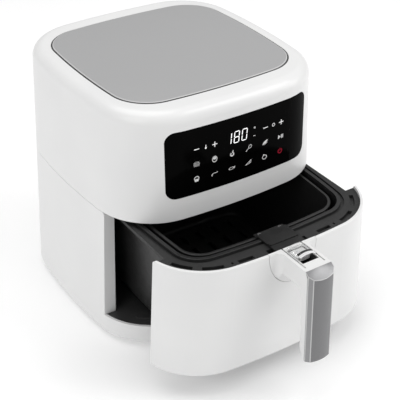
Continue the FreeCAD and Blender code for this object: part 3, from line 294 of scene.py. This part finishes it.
# painted highlight: a near-white copy of the grip grey for the insert's rounded ridges
gripRidgePaintedHighlight = gripGrey("gripRidgePaintedHighlight", grey(0.5), grey(0.6))
# painted highlight: a pale coat standing for the bright front edge of the clear guard
lipPaintedHighlight = satinPlastic("lipPaintedHighlight", grey(0.72), grey(0.8), rough=(0.3, 0.42), grain=900,
                          depth=0.02 * mm)
inkWhite = panelInk("inkWhite", grey(0.7), grey(0.88), glow=0.2)
inkSoft = panelInk("inkSoft", grey(0.52), grey(0.68), glow=0.12)
inkDigit = panelInk("inkDigit", grey(0.85), grey(1.0), glow=0.5)
inkRed = panelInk("inkRed", (0.16, 0.001, 0.01), (0.24, 0.002, 0.016), glow=0.12)

for sub in frame["record"]["subparts"]:
    target = nodes[sub["node"]]
    target.data.materials.clear()
    target.data.materials.append(finish[sub["material_slot"]])
nodes["crisper_plate"].data.materials[0] = crisperCoatPaintedLight      # paler copy of the non-stick, painted light so the crisper shows in the basket's shade
print("finishes:", len(finish), "slots dressed")


# tools for the scene's own pieces, some of which stand for a CAD node

def newPiece(bm, name, materials, body):
    mesh = bpy.data.meshes.new(name)
    bm.to_mesh(mesh)
    bm.free()
    for material in materials:
        mesh.materials.append(material)
    piece = bpy.data.objects.new(name, mesh)
    bpy.context.scene.collection.objects.link(piece)
    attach(piece, body)
    return piece


def mergedCopy(name, cornerGap=0.002 * mm):
    bm = bmesh.new()
    bm.from_mesh(nodes[name].data)
    bmesh.ops.remove_doubles(bm, verts=bm.verts, dist=cornerGap)
    return bm


def joinFlats(bm, flatDeg=0.5):
    bmesh.ops.dissolve_limit(bm, angle_limit=math.radians(flatDeg), verts=bm.verts, edges=bm.edges)


def roundEdges(bm, edges, width, steps):
    made = bmesh.ops.bevel(bm, geom=edges, offset=width, offset_type="OFFSET", affect="EDGES",
                           segments=steps, profile=0.5, material=-1, clamp_overlap=True)
    for face in made["faces"]:
        face.smooth = True
    return made["faces"]


# top plate: a shelf in the rim's gap, painted dark as shade, and a lid on it whose rounded edge is painted
# pale as a highlight

def topPlate():
    look = {"lidHeight": 1.5 * mm, "shelf": 1.0 * mm, "edge": 1.3 * mm, "edgeSteps": 3,
            "paintedHighlightAbove": 0.5}
    top, side, edge = range(3)      # places in coats
    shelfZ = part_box("top_plate")[1].z - look["lidHeight"]
    bm = mergedCopy("top_plate")
    joinFlats(bm)
    bmesh.ops.bisect_plane(bm, geom=bm.verts[:] + bm.edges[:] + bm.faces[:], plane_co=(0, 0, shelfZ),
                           plane_no=(0, 0, 1), clear_outer=True)
    shelf = bmesh.ops.holes_fill(bm, edges=[e for e in bm.edges if e.is_boundary])["faces"]
    bmesh.ops.recalc_face_normals(bm, faces=bm.faces)
    bmesh.ops.inset_region(bm, faces=shelf, thickness=look["shelf"], use_even_offset=True)
    lid = bmesh.ops.extrude_face_region(bm, geom=shelf)["geom"]
    lidTop = [f for f in lid if isinstance(f, bmesh.types.BMFace)]
    lidVerts = [v for v in lid if isinstance(v, bmesh.types.BMVert)]
    bmesh.ops.translate(bm, vec=(0, 0, look["lidHeight"]), verts=lidVerts)
    under = [f for f in shelf if f.is_valid and f not in lidTop]
    bmesh.ops.delete(bm, geom=under, context="FACES_ONLY")
    # every face but the lid's top gets the near-black coat, painted shade for the gap round the plate
    for face in bm.faces:
        face.material_index = top if face in lidTop else side
    brink = [e for e in bm.edges if len(set(e.link_faces) & set(lidTop)) == 1]
    # rounded faces that face up get the pale coat as a painted highlight, the others the painted-shade
    # coat
    for face in roundEdges(bm, brink, look["edge"], look["edgeSteps"]):
        face.material_index = edge if face.normal.z > look["paintedHighlightAbove"] else side
    coats = [finish["grey_plate"], plateSidePaintedShade, plateEdgePaintedHighlight]
    piece = newPiece(bm, "topPlate", coats, "housing")
    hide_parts("top_plate")


topPlate()
print("top plate: shelf, lid and edge")


# handle: the insert with its ridges rounded and painted pale as highlights and its chamfers painted
# lighter as lit faces, the button's spring, the guard's lip painted pale as a highlight and its strip
# painted black as shade

def gripInsert():
    look = {"ridge": 0.55 * mm, "ridgeSteps": 3, "sharp": 22.0, "chamferTurn": (0.4, 0.95),
            "paintedLightRise": 0.4}
    flat, chamfer, ridge = range(3)      # places in coats
    leastTurn, mostTurn = look["chamferTurn"]
    bm = mergedCopy("grip_insert")
    joinFlats(bm)
    # slanted chamfers and up-facing facets get the paler coat, painted light
    for face in bm.faces:
        slanted = leastTurn < abs(face.normal.x) < mostTurn and face.normal.y < 0
        face.material_index = chamfer if slanted or face.normal.z > look["paintedLightRise"] else flat
        face.smooth = True
    sharp = math.radians(look["sharp"])
    ridges = [e for e in bm.edges if e.is_manifold and e.calc_face_angle() > sharp]
    # the rounded ridges get the near-white coat, a painted highlight along each edge
    for face in roundEdges(bm, ridges, look["ridge"], look["ridgeSteps"]):
        face.material_index = ridge
    coats = [finish["grip_grey"], gripChamferPaintedLight, gripRidgePaintedHighlight]
    piece = newPiece(bm, "gripInsert", coats, "drawer")
    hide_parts("grip_insert")


def pressSpring():
    bm = mergedCopy("button_spring")
    for face in bm.faces:
        face.smooth = True
    piece = newPiece(bm, "pressSpring", [finish["steel"]], "drawer")
    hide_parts("button_spring")
    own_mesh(piece)


guardArch = {"radius": 22.91 * mm, "crown": 178.4 * mm, "steps": 18}
guardBars = {
    # the lip is a raised bar on the guard, painted pale as the highlight on its clear front edge
    "guardLip": {"behind": 0.0, "deep": 4.1 * mm, "proud": 0.95 * mm, "halfTurn": 25.0},
    # the strip is a black bar, painted shade for the dark gap behind the lip
    "guardStripPaintedShade": {"behind": 4.6 * mm, "deep": 3.0 * mm, "proud": 0.85 * mm, "halfTurn": 24.5},
}
# a grooved bar from front to back, as shares of its depth and height
barOutline = [(0.0, 0.2), (0.0, 0.7), (0.14, 1.0), (0.38, 1.0), (0.46, 0.55),
              (0.54, 0.55), (0.62, 1.0), (0.86, 1.0), (1.0, 0.7), (1.0, 0.2)]


def guardBar(name, material):
    # spun over the guard's arch from its left end to its right
    look = guardBars[name]
    radius = guardArch["radius"]
    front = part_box("slide_guard")[0].y + look["behind"]
    half = math.radians(look["halfTurn"])
    bm = bmesh.new()
    rim = [bm.verts.new((0, front + along * look["deep"], radius + up * look["proud"]))
           for along, up in barOutline]
    end = bm.faces.new(rim)
    bmesh.ops.rotate(bm, verts=rim, cent=(0, 0, 0), matrix=Matrix.Rotation(-half, 3, "Y"))
    bmesh.ops.spin(bm, geom=rim + end.edges[:] + [end], cent=(0, 0, 0), axis=(0, 1, 0), angle=2 * half,
                   steps=guardArch["steps"])
    bmesh.ops.translate(bm, verts=bm.verts, vec=(0, 0, guardArch["crown"] - radius))
    bmesh.ops.recalc_face_normals(bm, faces=bm.faces)
    newPiece(bm, name, [material], "guard")


gripInsert()
pressSpring()
guardBar("guardLip", lipPaintedHighlight)
# the strip is painted shade: a black bar where the gap behind the lip is dark
guardBar("guardStripPaintedShade", finish["black_plastic"])
print("handle: insert, spring, guard lip and strip")


# symbols on the touch panel, drawn flat in X and Z and then laid on its bowed face

panel = {
    "pitch": 22.96 * mm,
    "shift": 2.4 * mm,              # the columns' middle, right of the part's
    "rows": [260.1 * mm, 241.4 * mm, 222.6 * mm],
    "faceRadius": 834.9 * mm,       # the front's bow
    "lean": 0.00712,                # how far it falls back for each metre up
    "proud": 0.06 * mm,             # ink above the face
    "sunk": 0.04 * mm,
    "arcStep": 12.0,                # degrees of arc for each short edge
}
columns = [panel["pitch"] * (i - 2.5) + panel["shift"] for i in range(6)]
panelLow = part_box("touch_panel")[0]


def inkPlace(x, z, turn):
    return Matrix.Translation((x, 0, z)) @ Matrix.Rotation(turn, 4, "Y")


def standUp(bm, verts, x, z, width, height, turn):
    place = inkPlace(x, z, turn) @ Matrix.Rotation(math.pi / 2, 4, "X")
    bmesh.ops.scale(bm, vec=(width, height, 1), verts=verts)
    bmesh.ops.transform(bm, matrix=place, verts=verts)


def inkBar(bm, x, z, width, height, turn=0.0):
    made = bmesh.ops.create_grid(bm, x_segments=4, y_segments=1, size=0.5)
    standUp(bm, made["verts"], x, z, width, height, turn)


def inkBlob(bm, x, z, width, height, turn=0.0):
    made = bmesh.ops.create_circle(bm, cap_ends=True, radius=0.5, segments=20)
    standUp(bm, made["verts"], x, z, width, height, turn)


def inkArc(bm, x, z, radius, stroke, startDeg=0.0, sweepDeg=360.0, wide=1.0, tall=1.0, turn=0.0):
    # a stroke spun round a centre; wide and tall squeeze it to an oval
    known = set(bm.verts)
    first = [bm.verts.new((radius + side * stroke / 2, 0, 0)) for side in (-1, 1)]
    edge = bm.edges.new(first)
    start = Matrix.Rotation(-math.radians(startDeg), 3, "Y")
    bmesh.ops.rotate(bm, verts=first, cent=(0, 0, 0), matrix=start)
    bmesh.ops.spin(bm, geom=first + [edge], cent=(0, 0, 0), axis=(0, -1, 0), angle=math.radians(sweepDeg),
                   steps=int(sweepDeg / panel["arcStep"]), use_merge=sweepDeg == 360)
    made = [v for v in bm.verts if v not in known]
    bmesh.ops.scale(bm, vec=(wide, 1, tall), verts=made)
    bmesh.ops.transform(bm, matrix=inkPlace(x, z, turn), verts=made)


def inkLoop(bm, points):
    bm.faces.new([bm.verts.new((x, 0, z)) for x, z in points])


def layOnPanel(bm, name, material):
    bmesh.ops.recalc_face_normals(bm, faces=bm.faces)
    for face in bm.faces:
        if face.normal.y > 0:
            face.normal_flip()
    raised = bmesh.ops.extrude_face_region(bm, geom=bm.faces[:], use_keep_orig=True)
    lifted = [v for v in raised["geom"] if isinstance(v, bmesh.types.BMVert)]
    for vert in bm.verts:
        vert.co.y = panel["sunk"]
    for vert in lifted:
        vert.co.y = -panel["proud"]
    bow = panel["faceRadius"]
    for vert in bm.verts:
        fallBack = panel["lean"] * (vert.co.z - panelLow.z)
        vert.co.y += panelLow.y + fallBack + bow - math.sqrt(bow ** 2 - vert.co.x ** 2)
    bmesh.ops.recalc_face_normals(bm, faces=bm.faces)
    newPiece(bm, name, [material], "housing")


def plusMinus(bm, x, z, plus):
    look = {"arm": 6.4 * mm, "stroke": 1.0 * mm, "gap": 0.06 * mm}
    arm, stroke = look["arm"], look["stroke"]
    inkBar(bm, x, z, arm, stroke)
    if plus:
        for side in (-1, 1):
            inkBar(bm, x, z + side * (arm + stroke) / 4, stroke, (arm - stroke) / 2 - look["gap"])


def panelSettings():
    look = {"bulb": (2.4 * mm, 2.2 * mm), "bulbDrop": 1.5 * mm, "tube": (0.9 * mm, 3.0 * mm),
            "tubeRise": 0.9 * mm, "clock": (1.8 * mm, 0.6 * mm), "unitShift": 7.3 * mm,
            "degree": (0.85 * mm, 0.5 * mm), "degreeRise": 5.0 * mm, "minute": (3.0 * mm, 0.55 * mm),
            "minuteDrop": 5.2 * mm}
    top = panel["rows"][0]
    bm = bmesh.new()
    for left in (0, 4):
        plusMinus(bm, columns[left], top, False)
        plusMinus(bm, columns[left + 1], top, True)
    thermo = (columns[0] + columns[1]) / 2
    inkBlob(bm, thermo, top - look["bulbDrop"], *look["bulb"])
    inkBar(bm, thermo, top + look["tubeRise"], *look["tube"])
    inkArc(bm, (columns[4] + columns[5]) / 2, top, *look["clock"])
    unit = columns[3] + look["unitShift"]
    inkArc(bm, unit, top + look["degreeRise"], *look["degree"])
    inkBar(bm, unit, top - look["minuteDrop"], *look["minute"])
    layOnPanel(bm, "panelSettings", inkWhite)


def panelDigits():
    look = {"number": "180", "height": 14.8 * mm, "width": 7.4 * mm, "pitch": 10.5 * mm,
            "stroke": 1.05 * mm, "gap": 0.5 * mm, "lean": 0.075, "middle": (-3.2 * mm, 260.8 * mm)}
    segments = {"1": "bc", "8": "abcdefg", "0": "abcdef"}
    slim = look["stroke"] / 2
    wide, tall = look["width"] - look["stroke"], look["height"] - look["stroke"]
    # each bar's middle, and whether it lies flat
    spots = {"a": (0, tall / 2, True), "g": (0, 0, True), "d": (0, -tall / 2, True),
             "b": (wide / 2, tall / 4, False), "c": (wide / 2, -tall / 4, False),
             "f": (-wide / 2, tall / 4, False), "e": (-wide / 2, -tall / 4, False)}
    bm = bmesh.new()
    for i, digit in enumerate(look["number"]):
        for letter in segments[digit]:
            x, z, flat = spots[letter]
            x += (i - 1) * look["pitch"]
            half = ((wide if flat else tall / 2) - look["gap"]) / 2
            hexagon = [(-half, 0), (-half + slim, slim), (half - slim, slim),
                       (half, 0), (half - slim, -slim), (-half + slim, -slim)]
            inkLoop(bm, [(x + (a if flat else b), z + (b if flat else a)) for a, b in hexagon])
    for vert in bm.verts:
        vert.co.x += vert.co.z * look["lean"] + look["middle"][0]
        vert.co.z += look["middle"][1]
    layOnPanel(bm, "panelDigits", inkDigit)


# the icons, each drawn about its own middle

def burgerSign(bm, x, z):
    for i, width in enumerate((7.0, 8.0, 8.0, 6.8)):
        inkBar(bm, x, z + (1.7 - 1.3 * i) * mm, width * mm, height=0.4 * mm)
    inkArc(bm, x, z + 1.4 * mm, radius=3.3 * mm, stroke=0.45 * mm, startDeg=10, sweepDeg=160, tall=0.5)


def toastSign(bm, x, z):
    inkArc(bm, x, z, radius=3.1 * mm, stroke=0.85 * mm, wide=0.95, tall=1.12)
    inkBlob(bm, x, z + 1.0 * mm, width=4.2 * mm, height=3.0 * mm)


def dropSign(bm, x, z):
    inkArc(bm, x, z - 0.9 * mm, radius=2.0 * mm, stroke=1.5 * mm, startDeg=120, sweepDeg=300)
    inkBlob(bm, x + 0.9 * mm, z + 2.4 * mm, width=1.5 * mm, height=3.4 * mm, turn=0.35)


def drumstickSign(bm, x, z):
    inkArc(bm, x + 1.6 * mm, z + 1.5 * mm, radius=2.0 * mm, stroke=0.65 * mm, wide=1.15, tall=0.9,
           turn=-0.7)
    inkBar(bm, x - 1.9 * mm, z - 1.7 * mm, width=4.6 * mm, height=0.7 * mm, turn=-0.75)
    inkBlob(bm, x - 3.5 * mm, z - 3.2 * mm, width=1.3 * mm, height=1.3 * mm)


def sausageSign(bm, x, z):
    inkBlob(bm, x, z, width=8.6 * mm, height=3.0 * mm, turn=-0.62)
    inkBlob(bm, x + 1.4 * mm, z - 1.7 * mm, width=5.2 * mm, height=0.8 * mm, turn=-0.62)


def playSign(bm, x, z):
    inkLoop(bm, [(x - 3.6 * mm, z + 2.6 * mm), (x + 0.2 * mm, z), (x - 3.6 * mm, z - 2.6 * mm)])
    for shift in (1.3, 3.2):
        inkBar(bm, x + shift * mm, z, width=1.2 * mm, height=4.8 * mm)


def cakeSign(bm, x, z):
    inkArc(bm, x, z + 0.8 * mm, radius=2.5 * mm, stroke=1.0 * mm, startDeg=-10, sweepDeg=200, wide=1.1)
    inkLoop(bm, [(x - 3.1 * mm, z + 0.2 * mm), (x + 3.1 * mm, z + 0.2 * mm),
                 (x + 2.2 * mm, z - 3.2 * mm), (x - 2.2 * mm, z - 3.2 * mm)])


def prawnSign(bm, x, z):
    inkArc(bm, x + 0.4 * mm, z - 1.4 * mm, radius=3.6 * mm, stroke=0.95 * mm, startDeg=62, sweepDeg=118,
           wide=1.1, tall=0.7)
    inkBlob(bm, x - 3.1 * mm, z - 1.9 * mm, width=1.0 * mm, height=1.4 * mm, turn=-0.2)
    inkBlob(bm, x + 3.2 * mm, z + 1.4 * mm, width=2.2 * mm, height=1.0 * mm, turn=-0.5)


def fishSign(bm, x, z):
    inkArc(bm, x - 0.6 * mm, z, radius=2.6 * mm, stroke=0.9 * mm, wide=1.2, tall=0.55, turn=-0.12)
    inkLoop(bm, [(x + 2.0 * mm, z + 0.3 * mm), (x + 4.2 * mm, z + 2.1 * mm), (x + 3.9 * mm, z - 1.2 * mm)])


def sliceSign(bm, x, z):
    corners = [(-4.0, -2.4), (3.6, 2.9), (3.0, -1.0)]
    overlap = 0.5
    for (ax, az), (bx, bz) in zip(corners, corners[1:] + corners[:1]):
        side = math.hypot(bx - ax, bz - az) + overlap
        inkBar(bm, x + (ax + bx) / 2 * mm, z + (az + bz) / 2 * mm, width=side * mm, height=0.6 * mm,
               turn=-math.atan2(bz - az, bx - ax))
    inkBlob(bm, x + 1.2 * mm, z + 0.2 * mm, width=1.2 * mm, height=1.0 * mm)


def appleSign(bm, x, z):
    inkArc(bm, x, z - 0.5 * mm, radius=2.7 * mm, stroke=0.8 * mm, startDeg=105, sweepDeg=330, wide=1.1,
           tall=0.95)
    inkBlob(bm, x - 0.9 * mm, z + 2.6 * mm, width=2.8 * mm, height=1.5 * mm, turn=0.5)


def panelIcons():
    signs = [[burgerSign, toastSign, dropSign, drumstickSign, sausageSign, playSign],
             [cakeSign, prawnSign, fishSign, sliceSign, appleSign]]
    bm = bmesh.new()
    for row, line in zip(panel["rows"][1:], signs):
        for x, sign in zip(columns, line):
            sign(bm, x, row)
    layOnPanel(bm, "panelIcons", inkSoft)


def powerSign():
    bm = bmesh.new()
    x, z = columns[5], panel["rows"][2]
    inkArc(bm, x, z, radius=2.7 * mm, stroke=1.5 * mm, startDeg=122, sweepDeg=296)
    inkBar(bm, x, z + 1.9 * mm, width=1.3 * mm, height=3.6 * mm)
    layOnPanel(bm, "powerSign", inkRed)


panelSettings()
panelDigits()
panelIcons()
powerSign()
print("touch panel: settings, digits, icons and power sign laid on")


# stage: pale floor, soft light, the photo's camera

stageLook = {
    "floorHalf": 8.0, "floorDark": grey(0.755), "floorLight": grey(0.775), "floorClouds": 3,
    "floorGlow": 0.25, "worldTone": (1.0, 1.0, 1.0, 1.0), "worldStrength": 0.52,
    "lampAim": (0.0, 0.0, 0.12),
    "lamps": {
        "topLight": {"place": (-0.3, 0.4, 2.4), "size": 2.2, "power": 24.0},
        "leftLight": {"place": (-2.3, -0.9, 1.3), "size": 1.8, "power": 14.0},
        "rightLight": {"place": (2.3, -1.5, 1.2), "size": 1.8, "power": 17.0},
        "highLight": {"place": (1.35, -1.1, 2.1), "size": 1.2, "power": 14.0},
    },
}
cameraLook = {"place": (-0.58747, -0.87315, 0.81385), "aim": (0.01876, 0.03924, 0.11382), "roll": 0.26,
              "lens": 92.786, "sensor": 36.0}


def aimAt(obj, place, aim):
    obj.location = place
    obj.rotation_euler = (Vector(aim) - Vector(place)).to_track_quat("-Z", "Y").to_euler()


def studioFloor():
    bm = bmesh.new()
    bmesh.ops.create_grid(bm, x_segments=2, y_segments=2, size=stageLook["floorHalf"])
    mesh = bpy.data.meshes.new("studioFloor")
    bm.to_mesh(mesh)
    bm.free()
    mat, tree, shader = newFinish("paleFloor", Roughness=0.7, Specular_IOR_Level=0.2,
                                  Emission_Color=(1, 1, 1, 1), Emission_Strength=stageLook["floorGlow"])
    clouds = noiseAt(tree, surfacePoint(tree), stageLook["floorClouds"])
    colour = tint(tree, clouds, stageLook["floorDark"], stageLook["floorLight"])
    tree.links.new(colour, shader.inputs["Base Color"])
    mesh.materials.append(mat)
    floor = bpy.data.objects.new("studioFloor", mesh)
    bpy.context.scene.collection.objects.link(floor)


def softBox(name, look):
    lamp = bpy.data.lights.new(name, "AREA")
    lamp.shape = "DISK"
    lamp.size = look["size"]
    lamp.energy = look["power"]
    box = bpy.data.objects.new(name, lamp)
    bpy.context.scene.collection.objects.link(box)
    aimAt(box, look["place"], stageLook["lampAim"])


def photoCamera():
    lens = bpy.data.cameras.new("photoCamera")
    lens.lens = cameraLook["lens"]
    lens.sensor_width = cameraLook["sensor"]
    camera = bpy.data.objects.new("photoCamera", lens)
    bpy.context.scene.collection.objects.link(camera)
    aimAt(camera, cameraLook["place"], cameraLook["aim"])
    camera.rotation_euler.rotate_axis("Z", math.radians(cameraLook["roll"]))
    bpy.context.scene.camera = camera


studioFloor()
for lampName, lampLook in stageLook["lamps"].items():
    softBox(lampName, lampLook)
world = bpy.data.worlds.new("paleRoom")
world.use_nodes = True
world.node_tree.nodes["Background"].inputs["Color"].default_value = stageLook["worldTone"]
world.node_tree.nodes["Background"].inputs["Strength"].default_value = stageLook["worldStrength"]
bpy.context.scene.world = world
bpy.context.scene.view_settings.view_transform = "Standard"
photoCamera()
print("stage: floor, soft boxes, photo camera")
